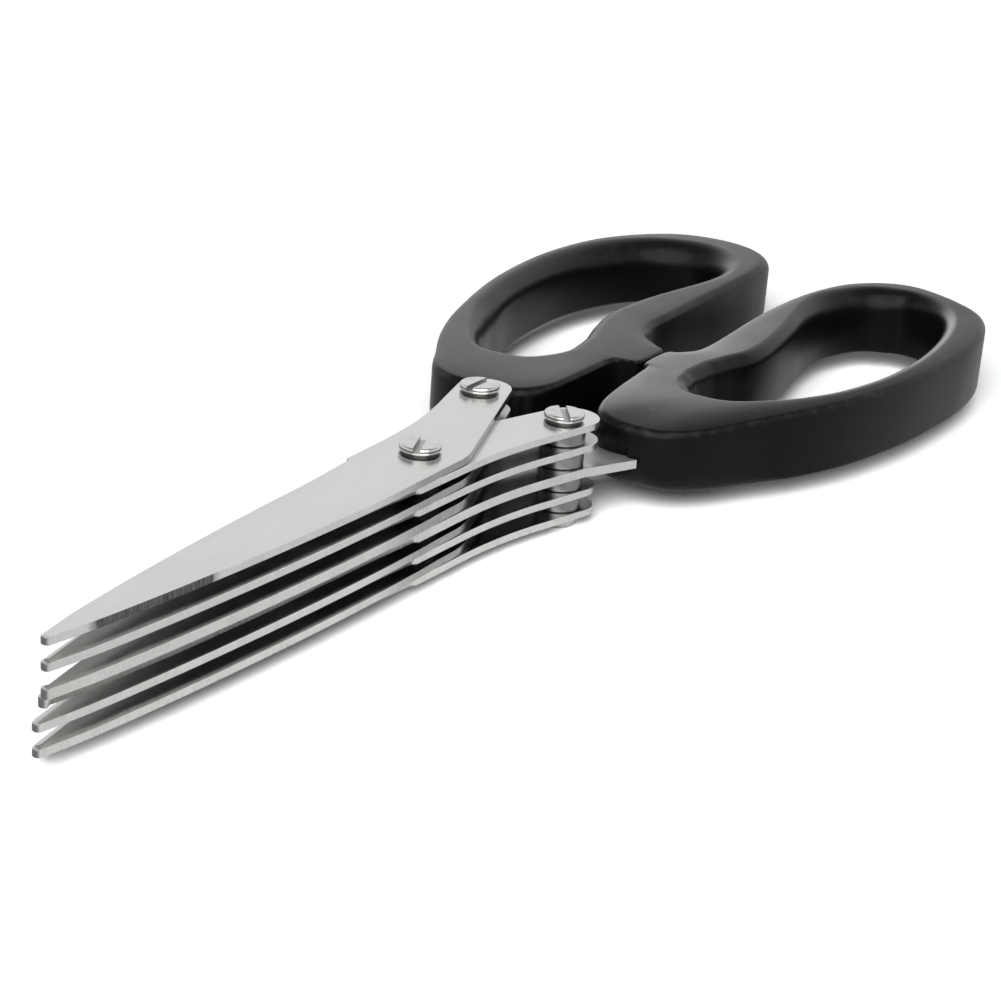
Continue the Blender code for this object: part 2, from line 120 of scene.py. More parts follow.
HANDLE_FIT_SHARE = 0.9
HANDLE_A_LENGTH = 99.1 * MM
HANDLE_A_REACH = 39.1 * MM
HANDLE_B_LENGTH = 95.6 * MM
HANDLE_B_REACH = 36.9 * MM
SLOT_CLEARANCE = 0.1 * MM
CUT_OVERRUN = 0.5 * MM

# Fineness of round shapes
CIRCLE_STEPS = 96
ARC_STEPS = 16
CORNER_STEPS = 7
OUTLINE_SUBDIVISIONS = 6
LOOP_SUBDIVISIONS = 6
SHARP_ANGLE = math.radians(35.0)

# Places in a blade's list of materials and in a screw's: a screw's second is painted shade in its slot, and
# its last is painted shade for its groove, undercut and shank
OPEN_FACE, SIDE, INNER_FACE = range(3)
HEAD_STEEL, SLOT_STEEL, SHADE_STEEL = range(3)

# Points of the head's side, from its seat up: radius and height above the seat, in millimetres
HEAD_POINTS = [
    (2.30, 0.0), (2.30, 0.24), (2.60, 0.28), (2.72, 0.34), (2.75, 0.40), (2.75, 0.55),
    (2.72, 0.59), (2.60, 0.62), (2.58, 0.66), (2.60, 0.70), (2.72, 0.73), (2.75, 0.77),
]

# Points of the spine, from above the heel to the tip: shares of blade length and of spine reach
SPINE_SHARES = [
    (0.05, 0.99), (0.114, 1.0), (0.228, 0.98), (0.342, 0.922), (0.455, 0.839),
    (0.569, 0.735), (0.683, 0.612), (0.797, 0.467), (0.911, 0.289),
]

# Points of the cutting edge, from the tip back to the heel: shares of blade length and of edge reach
EDGE_SHARES = [
    (0.897, 0.327), (0.817, 0.43), (0.739, 0.535), (0.659, 0.62), (0.577, 0.695),
    (0.493, 0.76), (0.41, 0.805), (0.32, 0.85), (0.23, 0.9), (0.165, 0.96),
]

# Points of the tang's outer edge, from the pivot back: shares of the screw's setback and of the tang's rise
TANG_SHARES = [(0.0, 0.0), (0.16, 0.045), (0.32, 0.13), (0.485, 0.27), (0.647, 0.46), (0.806, 0.695)]

# Stations round each finger loop, from the front by the outer side: shares of handle length and reach for
# the outer wall, then the same for the wall of the hole that faces it
LOOP_A_SHARES = [
    (0.000, 0.255, 0.160, 0.395), (0.000, 0.345, 0.160, 0.450), (0.005, 0.440, 0.165, 0.510),
    (0.035, 0.545, 0.185, 0.565), (0.100, 0.635, 0.225, 0.625), (0.180, 0.740, 0.270, 0.670),
    (0.285, 0.840, 0.340, 0.740), (0.440, 0.940, 0.450, 0.825), (0.570, 0.990, 0.565, 0.870),
    (0.695, 1.000, 0.680, 0.875), (0.815, 0.960, 0.780, 0.825), (0.915, 0.860, 0.855, 0.730),
    (0.980, 0.715, 0.890, 0.605), (1.000, 0.525, 0.893, 0.500), (0.983, 0.342, 0.873, 0.415),
    (0.928, 0.212, 0.835, 0.345), (0.835, 0.170, 0.785, 0.308), (0.725, 0.160, 0.715, 0.312),
    (0.620, 0.160, 0.625, 0.345), (0.515, 0.155, 0.535, 0.375), (0.435, 0.150, 0.450, 0.380),
    (0.375, 0.100, 0.375, 0.340), (0.335, 0.005, 0.330, 0.305), (0.320, -0.035, 0.310, 0.290),
    (0.250, -0.035, 0.260, 0.270), (0.240, 0.005, 0.235, 0.265), (0.225, 0.055, 0.215, 0.270),
    (0.145, 0.065, 0.190, 0.295), (0.060, 0.080, 0.170, 0.325), (0.015, 0.140, 0.160, 0.360),
]
LOOP_B_SHARES = [
    (0.000, 0.270, 0.185, 0.420), (0.000, 0.365, 0.185, 0.460), (0.010, 0.460, 0.190, 0.515),
    (0.050, 0.560, 0.205, 0.570), (0.120, 0.655, 0.230, 0.625), (0.220, 0.785, 0.275, 0.700),
    (0.325, 0.890, 0.350, 0.785), (0.460, 0.965, 0.465, 0.850), (0.585, 0.995, 0.580, 0.865),
    (0.700, 1.000, 0.690, 0.845), (0.805, 0.965, 0.790, 0.795), (0.895, 0.880, 0.865, 0.715),
    (0.950, 0.738, 0.903, 0.615), (0.986, 0.572, 0.916, 0.505), (0.993, 0.430, 0.906, 0.430),
    (0.965, 0.300, 0.885, 0.345), (0.905, 0.195, 0.840, 0.290), (0.795, 0.130, 0.780, 0.260),
    (0.690, 0.110, 0.700, 0.270), (0.580, 0.115, 0.600, 0.315), (0.475, 0.130, 0.490, 0.355),
    (0.410, 0.135, 0.420, 0.355), (0.370, 0.125, 0.370, 0.320), (0.340, 0.080, 0.335, 0.300),
    (0.325, 0.050, 0.315, 0.290), (0.260, 0.050, 0.265, 0.285), (0.245, 0.075, 0.240, 0.295),
    (0.205, 0.085, 0.220, 0.305), (0.125, 0.105, 0.205, 0.335), (0.055, 0.135, 0.190, 0.360),
    (0.015, 0.185, 0.185, 0.390),
]

# How much each corner of a handle's section is rubbed, from the rim of the hole over the top and back below
HANDLE_RUBS = (0.35, 0.0, 1.0, 0.3, 0.2)

# Noise: its roughness, and the values between which a finish goes from its first level to its second
NOISE_ROUGHNESS = 0.55
WIDE_RANGE = (0.30, 0.70)
SOFT_RANGE = (0.35, 0.65)
EDGE_RANGE = (0.36, 0.62)
COARSE_RANGE = (0.38, 0.64)
RUB_RANGE = (0.48, 0.70)

# Grains: how many per metre along X, Y and Z, their detail and, where they are turned about Z, the angle
FACE_GRAIN = ((140, 5200, 5200), 5.0)
FACE_CLOUD = ((60, 160, 160), 2.0)
EDGE_GRAIN = ((6500, 1800, 900), 4.0, math.radians(8.0))
EDGE_CLOUD = ((220, 220, 220), 2.0)
COARSE_GRAIN = ((12500, 1600, 600), 4.0, math.radians(12.0))
RAGGED_GRAIN = ((900, 900, 500), 3.0)
TURNED_SCRATCH = ((500, 3800, 3800), 4.0, math.radians(30.0))
TURNED_CLOUD = ((700, 700, 700), 2.0)
PLASTIC_GRAIN = ((4200, 4200, 4200), 2.0)
PLASTIC_CLOUD = ((90, 90, 90), 3.0)
RUB_GRAIN = ((500, 500, 500), 4.0)

# Finish of the blades: levels of steel, roughness, shares and depths of the grain
STEEL_TINT = (1.0, 0.994, 0.976)
FACE_LEVELS = (0.57, 0.64)
# Inner faces: darker steel, painted shade between the blades
INNER_SHADE_LEVELS = (0.36, 0.44)
# The sides' steel is lighter than the faces': a ground finish, lifted further as painted light that makes up
# for the dimmer floor they mirror
EDGE_LEVELS = (0.67, 0.81)
# Painted shade: darker steel over the coarse grind behind the upper blades' heels
HEEL_SHADE_LEVELS = (0.30, 0.50)
HATCH_COLORS = ((0.055, 0.054, 0.052), (0.21, 0.207, 0.20))
# Painted shade on the sides at the tips' ends, which face ahead
TIP_END_SHADE_LEVEL = 0.20
FACE_ROUGHNESS = (0.16, 0.25)
STEM_ADDED_ROUGHNESS = 0.30
EDGE_ROUGHNESS = (0.24, 0.34)
FACE_GRAIN_SHARE = 0.5
EDGE_GRAIN_SHARE = 0.65
FACE_GRAIN_DEPTH = 0.0018 * MM
EDGE_GRAIN_DEPTH = 0.006 * MM

# Places along the blade between which a finish changes: the painted shade on inner faces fades out on the
# stem and towards the tip, the upper blades' sides are coarse behind their heels and carry painted shade
# there, and the top blade's side is hatched in a stretch
STEM_FADE = (-30.0 * MM, -27.0 * MM)
TIP_FADE = (50.0 * MM, 78.0 * MM)
HEEL_FADE = (8.0 * MM, 18.0 * MM)
HATCH_START = (48.0 * MM, 49.2 * MM)
HATCH_END = (66.4 * MM, 67.6 * MM)
HATCH_RAGGEDNESS = 1.6 * MM

# How squarely a blade's side faces ahead where its painted shade at the tip's end starts, and where it is
# full
TIP_END_SHADE_FACING = (0.45, 0.85)

# Finish of turned steel, and the levels and roughness of each kind; all but the bright steel are darkened as
# painted shade: between the blades for spacers and washers, in the slot, and in the groove, undercut and
# shank
RINGS_SCALE = 900.0
RINGS_DISTORTION = 1.5
RINGS_DETAIL = 3.0
RINGS_SHARE = 0.3
SCRATCH_SHARE = 0.4
TURNED_DEPTH = 0.0015 * MM
BRIGHT_STEEL = ((0.50, 0.62), (0.10, 0.20))
# Spacers and washers: darker steel, painted shade between the blades
SPACER_SHADE_STEEL = ((0.22, 0.32), (0.26, 0.36))
# The screws' slots: darker steel, painted shade in the recess
SLOT_SHADE_STEEL = ((0.34, 0.44), (0.30, 0.40))
# Groove, undercut and shank: the darkest steel, painted shade under and round the head
RECESS_SHADE_STEEL = ((0.08, 0.14), (0.30, 0.40))

# Finish of the plastic, and its specks: cells per metre, radius, and the chance that a cell has one
PLASTIC_COLORS = ((0.0024, 0.0023, 0.0023), (0.0042, 0.0040, 0.0040))
PLASTIC_ROUGHNESS = (0.29, 0.36)
PLASTIC_GRAIN_DEPTH = 0.0035 * MM
PLASTIC_SPECULAR = 0.14
PALE_COLOR = (0.075, 0.075, 0.074, 1.0)
PALE_ADDED_ROUGHNESS = 0.15
RUB_STRENGTH = 0.35
SPECK_STRENGTH = 0.5
LARGE_SPECKS = (170.0, 0.22 * MM, 0.22)
SMALL_SPECKS = (420.0, 0.10 * MM, 0.18)

# Camera
CAMERA_TARGET = Vector((0.3, 11.4, 9.4)) * MM
CAMERA_DISTANCE = 298.7 * MM
CAMERA_AZIMUTH = math.radians(28.986)
CAMERA_ELEVATION = math.radians(21.533)
CAMERA_ROLL = math.radians(4.184)
CAMERA_FOCUS_PIXELS = 2390
IMAGE_SIDE = 1001
IMAGE_CENTER = Vector((493.0, 520.5))
SENSOR_WIDTH = 36.0
CLIP_START = 1.0 * MM
CLIP_END = 100.0

# Lights and floor
WHITE = (1.0, 1.0, 1.0, 1.0)
FLOOR_SIZE = 12.0
FLOOR_DROP = 0.02 * MM
FLOOR_COLOR = 0.92
FLOOR_CAMERA_COLOR = 1.85
FLOOR_MIRRORED_COLOR = 1.12
AMBIENT_STRENGTH = 0.08
CEILING_STRENGTH = 0.30
CEILING_START = math.sin(math.radians(33.0))
CEILING_END = math.sin(math.radians(58.0))
KEY_STRENGTH = 2.8
KEY_ANGLE = math.radians(34.0)
KEY_FROM = Vector((0.77, 0.27, 0.57))
GLOSS_STRENGTH = 2.5
GLOSS_ANGLE = math.radians(76.0)
GLOSS_FROM = Vector((0.62, 0.44, 0.66))
SHEEN_STRENGTHS = {"a": 0.18, "b": 0.58}
SHEEN_ANGLE = math.radians(36.0)
SHEEN_FROM = Vector((-0.74, -0.64, 0.19))


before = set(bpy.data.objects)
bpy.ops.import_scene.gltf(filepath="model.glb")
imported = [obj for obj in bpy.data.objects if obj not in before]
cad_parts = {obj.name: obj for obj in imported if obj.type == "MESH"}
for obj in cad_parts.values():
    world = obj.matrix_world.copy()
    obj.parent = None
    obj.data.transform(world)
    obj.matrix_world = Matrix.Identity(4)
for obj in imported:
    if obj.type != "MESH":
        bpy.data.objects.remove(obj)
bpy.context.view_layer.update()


# Node helpers

def node(tree, kind, inputs=None, **options):
    """Add a node, set its options, and fill its inputs with values or with other nodes' outputs."""
    made = tree.nodes.new(kind)
    for key, value in options.items():
        setattr(made, key, value)
    for key, value in (inputs or {}).items():
        if isinstance(value, bpy.types.NodeSocket):
            tree.links.new(value, made.inputs[key])
        else:
            made.inputs[key].default_value = value
    return made


def new_material(name):
    """An empty Principled material: its tree, its shader and its object coordinates."""
    made = bpy.data.materials.new(name)
    made.use_nodes = True
    tree = made.node_tree
    shader = tree.nodes["Principled BSDF"]
    coordinates = node(tree, "ShaderNodeTexCoord").outputs["Object"]
    return made, tree, shader, coordinates


def noise(tree, coordinates, scale, detail, turn=0.0):
    """Noise with its own number of grains per metre along each axis, turned about Z."""
    mapping = node(tree, "ShaderNodeMapping", {
        "Vector": coordinates,
        "Rotation": (0, 0, turn),
        "Scale": scale,
    })
    texture = node(tree, "ShaderNodeTexNoise", {
        "Vector": mapping.outputs["Vector"],
        "Scale": 1.0,
        "Detail": detail,
        "Roughness": NOISE_ROUGHNESS,
    })
    return texture.outputs["Fac"]


def spread(tree, value, low, high, start=WIDE_RANGE[0], end=WIDE_RANGE[1]):
    """Stretch a value from the range between start and end to the one between low and high."""
    made = node(tree, "ShaderNodeMapRange", {
        "Value": value,
        "From Min": start,
        "From Max": end,
        "To Min": low,
        "To Max": high,
    })
    return made.outputs["Result"]


def ramp(tree, value, places, colors):
    """A colour for each value: from the first colour at the first place to the second at the second."""
    made = node(tree, "ShaderNodeValToRGB", {"Fac": value})
    for element, place, color in zip(made.color_ramp.elements, places, colors):
        element.position = place
        element.color = (*color, 1.0)
    return made.outputs["Color"]


def calculate(tree, operation, first, second, clamp=False):
    """One step of arithmetic."""
    made = node(tree, "ShaderNodeMath", {0: first, 1: second}, operation=operation, use_clamp=clamp)
    return made.outputs[0]


def weighted_sum(tree, first, first_share, second, second_share, clamp=False):
    """Two values, each times its share, added up."""
    first_part = calculate(tree, "MULTIPLY", first, first_share)
    second_part = calculate(tree, "MULTIPLY", second, second_share)
    return calculate(tree, "ADD", first_part, second_part, clamp)


def mix_color(tree, factor, first, second):
    """Blend two colours."""
    made = node(tree, "ShaderNodeMixRGB", {"Fac": factor, "Color1": first, "Color2": second})
    return made.outputs["Color"]


def fill_shader(tree, shader, color, roughness, height, depth, metallic):
    """Give a shader its colour, its roughness, a bump of a depth in metres, and its metallic value."""
    bump = node(tree, "ShaderNodeBump", {"Height": height, "Distance": depth, "Strength": 1.0})
    tree.links.new(color, shader.inputs["Base Color"])
    tree.links.new(roughness, shader.inputs["Roughness"])
    tree.links.new(bump.outputs["Normal"], shader.inputs["Normal"])
    shader.inputs["Metallic"].default_value = metallic


# Materials

def steel_color(level):
    """The slightly warm grey of steel at a level."""
    return tuple(level * tint for tint in STEEL_TINT)


def steel_ramp(tree, value, places, levels):
    """Steel that goes from one level to another."""
    return ramp(tree, value, places, [steel_color(level) for level in levels])


def blade_face_material(name, inner):
    """Flat faces of the blades, with fine grain along the blade. Inner faces are darker as painted shade, the
    shade between the blades, but for their tips and stems, and the stems are rougher."""
    made, tree, shader, coordinates = new_material(name)
    grain = noise(tree, coordinates, *FACE_GRAIN)
    cloud = noise(tree, coordinates, *FACE_CLOUD)
    both = weighted_sum(tree, grain, FACE_GRAIN_SHARE, cloud, 1 - FACE_GRAIN_SHARE)
    color = steel_ramp(tree, both, SOFT_RANGE, FACE_LEVELS)
    roughness = spread(tree, both, *FACE_ROUGHNESS)
    if inner:
        # Painted shade between the blades, faded out towards the tip and on the stem
        dark = steel_ramp(tree, both, SOFT_RANGE, INNER_SHADE_LEVELS)
        along = node(tree, "ShaderNodeSeparateXYZ", {"Vector": coordinates}).outputs["X"]
        behind_tip = spread(tree, along, 1.0, 0.0, *TIP_FADE)
        before_stem = spread(tree, along, 0.0, 1.0, *STEM_FADE)
        color = mix_color(tree, calculate(tree, "MULTIPLY", before_stem, behind_tip), color, dark)
        added = spread(tree, before_stem, STEM_ADDED_ROUGHNESS, 0.0, 0.0, 1.0)
        roughness = calculate(tree, "ADD", roughness, added)
    fill_shader(tree, shader, color, roughness, grain, FACE_GRAIN_DEPTH, 1.0)
    return made


def blade_edge_material(name, shaded_coarse_heel, hatched):
    """Sides of the blades: ground across, with painted shade at the tip's end, a coarser grind with painted
    shade over it from the upper blades' heels back, and a dark hatched stretch near the top blade's tip."""
    made, tree, shader, coordinates = new_material(name)
    grain = noise(tree, coordinates, *EDGE_GRAIN)
    cloud = noise(tree, coordinates, *EDGE_CLOUD)
    both = weighted_sum(tree, grain, EDGE_GRAIN_SHARE, cloud, 1 - EDGE_GRAIN_SHARE)
    color = steel_ramp(tree, both, EDGE_RANGE, EDGE_LEVELS)
    normal = coordinates.node.outputs["Normal"]
    # Painted shade on the sides that face ahead, at the tip's end
    ahead = node(tree, "ShaderNodeSeparateXYZ", {"Vector": normal}).outputs["X"]
    tip_end_shade = spread(tree, ahead, 0.0, 1.0, *TIP_END_SHADE_FACING)
    color = mix_color(tree, tip_end_shade, color, (*steel_color(TIP_END_SHADE_LEVEL), 1.0))
    if shaded_coarse_heel or hatched:
        place = node(tree, "ShaderNodeSeparateXYZ", {"Vector": coordinates}).outputs
        coarse = noise(tree, coordinates, *COARSE_GRAIN)
    if shaded_coarse_heel:
        # Painted shade behind the heel, laid over the coarse grind
        heel = spread(tree, place["X"], 1.0, 0.0, *HEEL_FADE)
        color = mix_color(tree, heel, color, steel_ramp(tree, coarse, COARSE_RANGE, HEEL_SHADE_LEVELS))
    if hatched:
        ragged = noise(tree, coordinates, *RAGGED_GRAIN)
        along = calculate(tree, "ADD", place["X"], calculate(tree, "MULTIPLY", ragged, HATCH_RAGGEDNESS))
        behind = spread(tree, along, 1.0, 0.0, *HATCH_END)
        stretch = calculate(tree, "MULTIPLY", spread(tree, along, 0.0, 1.0, *HATCH_START), behind)
        near_side = calculate(tree, "GREATER_THAN", place["Y"], 0.0)
        mask = calculate(tree, "MULTIPLY", stretch, near_side)
        color = mix_color(tree, mask, color, ramp(tree, coarse, COARSE_RANGE, HATCH_COLORS))
    fill_shader(tree, shader, color, spread(tree, both, *EDGE_ROUGHNESS), grain, EDGE_GRAIN_DEPTH, 1.0)
    return made


def turned_steel_material(name, levels, roughness):
    """Turned steel of screws, nuts, spacers and washers: fine rings about the axis, and light scratches."""
    made, tree, shader, coordinates = new_material(name)
    rings = node(tree, "ShaderNodeTexWave", {
        "Vector": coordinates,
        "Scale": RINGS_SCALE,
        "Distortion": RINGS_DISTORTION,
        "Detail": RINGS_DETAIL,
    }, wave_type="RINGS", rings_direction="Z").outputs["Fac"]
    scratch = noise(tree, coordinates, *TURNED_SCRATCH)
    cloud = noise(tree, coordinates, *TURNED_CLOUD)
    both = weighted_sum(tree, scratch, SCRATCH_SHARE, cloud, 1 - SCRATCH_SHARE)
    color = steel_ramp(tree, both, SOFT_RANGE, levels)
    height = calculate(tree, "ADD", calculate(tree, "MULTIPLY", rings, RINGS_SHARE), scratch)
    fill_shader(tree, shader, color, spread(tree, both, *roughness), height, TURNED_DEPTH, 1.0)
    return made


def specks(tree, coordinates, cells, radius, chance):
    """Small round specks, one in some cells of a scatter: 1 inside a speck."""
    texture = node(tree, "ShaderNodeTexVoronoi", {"Vector": coordinates, "Scale": cells})
    near = calculate(tree, "LESS_THAN", texture.outputs["Distance"], radius * cells)
    lucky = node(tree, "ShaderNodeSeparateColor", {"Color": texture.outputs["Color"]}).outputs["Red"]
    return calculate(tree, "MULTIPLY", near, calculate(tree, "LESS_THAN", lucky, chance))


def plastic_material():
    """Satin black plastic: faint grain, cloudy sheen, small specks, and a light rub along the creases."""
    made, tree, shader, coordinates = new_material("satin_black_plastic")
    grain = noise(tree, coordinates, *PLASTIC_GRAIN)
    cloud = noise(tree, coordinates, *PLASTIC_CLOUD)
    rub = node(tree, "ShaderNodeAttribute", attribute_name="rub").outputs["Fac"]
    broken = spread(tree, noise(tree, coordinates, *RUB_GRAIN), 0.0, 1.0, *RUB_RANGE)
    worn = calculate(tree, "MULTIPLY", rub, broken)
    dots = calculate(
        tree, "MAXIMUM",
        specks(tree, coordinates, *LARGE_SPECKS),
        specks(tree, coordinates, *SMALL_SPECKS),
    )
    pale = weighted_sum(tree, worn, RUB_STRENGTH, dots, SPECK_STRENGTH, clamp=True)
    color = mix_color(tree, pale, ramp(tree, cloud, SOFT_RANGE, PLASTIC_COLORS), PALE_COLOR)
    satin = spread(tree, cloud, *PLASTIC_ROUGHNESS)
    roughness = calculate(tree, "ADD", satin, calculate(tree, "MULTIPLY", pale, PALE_ADDED_ROUGHNESS))
    fill_shader(tree, shader, color, roughness, grain, PLASTIC_GRAIN_DEPTH, 0.0)
    shader.inputs["Specular IOR Level"].default_value = PLASTIC_SPECULAR
    return made


def floor_material():
    """A white floor that keeps the object's shadow."""
    made, tree, shader, _ = new_material("white_floor")
    rays = node(tree, "ShaderNodeLightPath").outputs
    seen = calculate(tree, "ADD", rays["Is Glossy Ray"], rays["Is Transmission Ray"], clamp=True)
    plain = spread(tree, seen, FLOOR_COLOR, FLOOR_MIRRORED_COLOR, 0.0, 1.0)
    shade = mix_color(tree, rays["Is Camera Ray"], plain, (FLOOR_CAMERA_COLOR,) * 3 + (1.0,))
    tree.nodes.remove(shader)
    diffuse = node(tree, "ShaderNodeBsdfDiffuse", {"Color": shade})
    tree.links.new(diffuse.outputs["BSDF"], tree.nodes["Material Output"].inputs["Surface"])
    return made


# Geometry helpers

def finish(name, bm, materials):
    """Turn a bmesh into a named object."""
    bmesh.ops.recalc_face_normals(bm, faces=bm.faces)
    mesh = bpy.data.meshes.new(name)
    bm.to_mesh(mesh)
    bm.free()
    mesh.shade_smooth()
    mesh.set_sharp_from_angle(angle=SHARP_ANGLE)
    for made in materials:
        mesh.materials.append(made)
    obj = bpy.data.objects.new(name, mesh)
    bpy.context.scene.collection.objects.link(obj)
    return obj


def cut(obj, cutter):
    """Subtract one object from another, and remove the cutter."""
    modifier = obj.modifiers.new("cut", "BOOLEAN")
    modifier.operation = "DIFFERENCE"
    modifier.solver = "EXACT"
    modifier.object = cutter
    bpy.context.view_layer.update()
    result = obj.evaluated_get(bpy.context.evaluated_depsgraph_get())
    mesh = bpy.data.meshes.new_from_object(result)
    obj.modifiers.clear()
    obj.data = mesh
    bpy.data.objects.remove(cutter)


def spline(points, subdivisions, closed):
    """Points of a Catmull-Rom curve through the given ones."""
    count = len(points)
    runs = count if closed else count - 1
    out = []
    for i in range(runs):
        if closed:
            before, start, end, after = (points[(i + k) % count] for k in (-1, 0, 1, 2))
        else:
            before, start, end, after = (points[min(max(i + k, 0), count - 1)] for k in (-1, 0, 1, 2))
        slope = end - before
        bend = before * 2 - start * 5 + end * 4 - after
        twist = start * 3 - before - end * 3 + after
        for step in range(subdivisions):
            t = step / subdivisions
            out.append((start * 2 + slope * t + bend * t ** 2 + twist * t ** 3) / 2)
    if not closed:
        out.append(points[-1])
    return out


def arc(center, radius, start, end, steps=ARC_STEPS):
    """Points along an arc, both ends included."""
    angles = [start + (end - start) * i / steps for i in range(steps + 1)]
    return [center + Vector((math.cos(a), math.sin(a))) * radius for a in angles]


def rounded_corner(before, corner, after, radius, steps=ARC_STEPS):
    """An arc that rounds the corner between two straight runs."""
    to_before = (before - corner).normalized()
    to_after = (after - corner).normalized()
    half = to_before.angle(to_after) / 2
    center = corner + (to_before + to_after).normalized() * (radius / math.sin(half))
    first = corner + to_before * (radius / math.tan(half)) - center
    last = corner + to_after * (radius / math.tan(half)) - center
    turn = first.angle_signed(last)
    start = math.atan2(first.y, first.x)
    return arc(center, radius, start, start - turn, steps)


def circle(radius, center=Vector((0, 0))):
    """Points of a full circle."""
    angles = [2 * math.pi * i / CIRCLE_STEPS for i in range(CIRCLE_STEPS)]
    return [center + Vector((math.cos(a), math.sin(a))) * radius for a in angles]


def inset(points, distances):
    """Move each point of an outline inwards, square to the outline there."""
    out = []
    count = len(points)
    for i, point in enumerate(points):
        run = points[(i + 1) % count] - points[i - 1]
        out.append(point + Vector((-run.y, run.x)).normalized() * distances[i])
    return out


def mirrored(points, side):
    """Points for the set on the given side."""
    return [Vector((p.x, p.y * side)) for p in points]


def ring_at(bm, points, z):
    """Vertices of one closed ring at a height."""
    return [bm.verts.new((p.x, p.y, z)) for p in points]


def join_rings(bm, rings, material=0):
    """Side faces between successive rings of vertices."""
    for low, high in zip(rings, rings[1:]):
        count = len(low)
        for i in range(count):
            j = (i + 1) % count
            face = bm.faces.new((low[i], low[j], high[j], high[i]))
            face.material_index = material


def cap(bm, loops, material):
    """Fill the area between closed loops of vertices."""
    edges = []
    for loop in loops:
        for i, vert in enumerate(loop):
            edges.append(bm.edges.get((vert, loop[(i + 1) % len(loop)])))
    for made in bmesh.ops.triangle_fill(bm, edges=edges, use_beauty=True)["geom"]:
        if isinstance(made, bmesh.types.BMFace):
            made.material_index = material


# Blades

def tang_end():
    """Centre of the tang's round end, and the angles where it meets the tang's two edges."""
    center = Vector((-TANG_BACK - TANG_END_BACK, TANG_SPREAD + TANG_END_RISE))
    outer_angle = math.pi / 2 - TANG_ANGLE
    return center, outer_angle, outer_angle + math.pi


def stem_sides():
    """Outer side, inner side and back end of a middle blade's stem."""
    return SHOULDER_OUTER - STEM_OUTER_STEP, SHOULDER_INNER + STEM_INNER_STEP, SHOULDER_BACK + STEM_LENGTH


def blade_length(set_name, level):
    """Length of one blade, from the pivot to its tip."""
    length = BLADE_LENGTH
    if level <= MIDDLE_PAIR:
        length -= UPPER_SETBACK
    if set_name == "b":
        length -= MIDDLE_PARTNER_SETBACK if level == MIDDLE_PAIR else PARTNER_SETBACK
    return length


def blade_turn(set_name, level):
    """How far a blade is turned against its tang."""
    if set_name == "a":
        return 0
    return MIDDLE_PARTNER_TURN if level == MIDDLE_PAIR else PARTNER_TURN


def blade_points(length, turn, stem):
    """Outline of a blade whose tang goes to +Y, how far each point is ground in on the outer face, and how
    round its two rims are worn."""
    points = []
    grind = []
    wear = []
    heading = Matrix.Rotation(turn, 2)

    def add(new, ground=0.0, worn=0.0):
        points.extend(new)
        grind.extend([ground] * len(new))
        wear.extend(worn * math.sin(math.pi * i / ARC_STEPS) for i in range(len(new)))

    tip = heading @ Vector((length - TIP_RADIUS, 0))
    tip_points = arc(tip, TIP_RADIUS, turn - TIP_SWEEP, turn + TIP_SWEEP)
    spine = [heading @ Vector((x * length, -y * SPINE_REACH)) for x, y in SPINE_SHARES]
    spine = spline(spine + tip_points[:1], OUTLINE_SUBDIVISIONS, False)[:-1]
    add(spine)
    add(tip_points, worn=TIP_WEAR_RADIUS)
    edge = [heading @ Vector((x * length, y * EDGE_REACH)) for x, y in EDGE_SHARES]
    edge.append(heading @ Vector((HEEL_PLACE + HEEL_RUNOUT, EDGE_REACH)))
    add(spline(tip_points[-1:] + edge, OUTLINE_SUBDIVISIONS, False)[1:], GRIND_WIDTH)
    add([heading @ Vector((HEEL_PLACE, EDGE_REACH))])
    tang_outer = TANG_SPREAD + TANG_HALF_WIDTH
    rise = tang_outer - NECK_REACH
    center, outer_angle, inner_angle = tang_end()
    end_points = arc(center, TANG_HALF_WIDTH, outer_angle, inner_angle)
    flank = [Vector((-x * TANG_BACK, NECK_REACH + y * rise)) for x, y in TANG_SHARES]
    flank_end = Vector((-TANG_BACK, tang_outer)) if stem else end_points[0]
    add(spline(flank + [flank_end], OUTLINE_SUBDIVISIONS, False)[:-1])
    if stem:
        stem_outer, stem_inner, stem_back = stem_sides()
        add([
            flank_end,
            Vector((-SHOULDER_BACK, SHOULDER_OUTER)),
            Vector((-SHOULDER_BACK, stem_outer)),
            Vector((-stem_back, stem_outer)),
            Vector((-stem_back, stem_inner)),
            Vector((-SHOULDER_BACK, stem_inner)),
            Vector((-SHOULDER_BACK, SHOULDER_INNER)),
            end_points[-1],
        ])
    else:
        add(end_points)
    along = Vector((math.cos(TANG_ANGLE), -math.sin(TANG_ANGLE)))
    elbow = end_points[-1] + along * ((SPINE_REACH + end_points[-1].y) / math.sin(TANG_ANGLE))
    add(rounded_corner(end_points[-1], elbow, spine[0], ELBOW_RADIUS))
    return points, grind, wear


def worn_away(radius, from_rim):
    """How far a rim worn to a radius draws back, at a height from that rim."""
    rise = max(0, radius - from_rim)
    return radius - math.sqrt(radius ** 2 - rise ** 2)


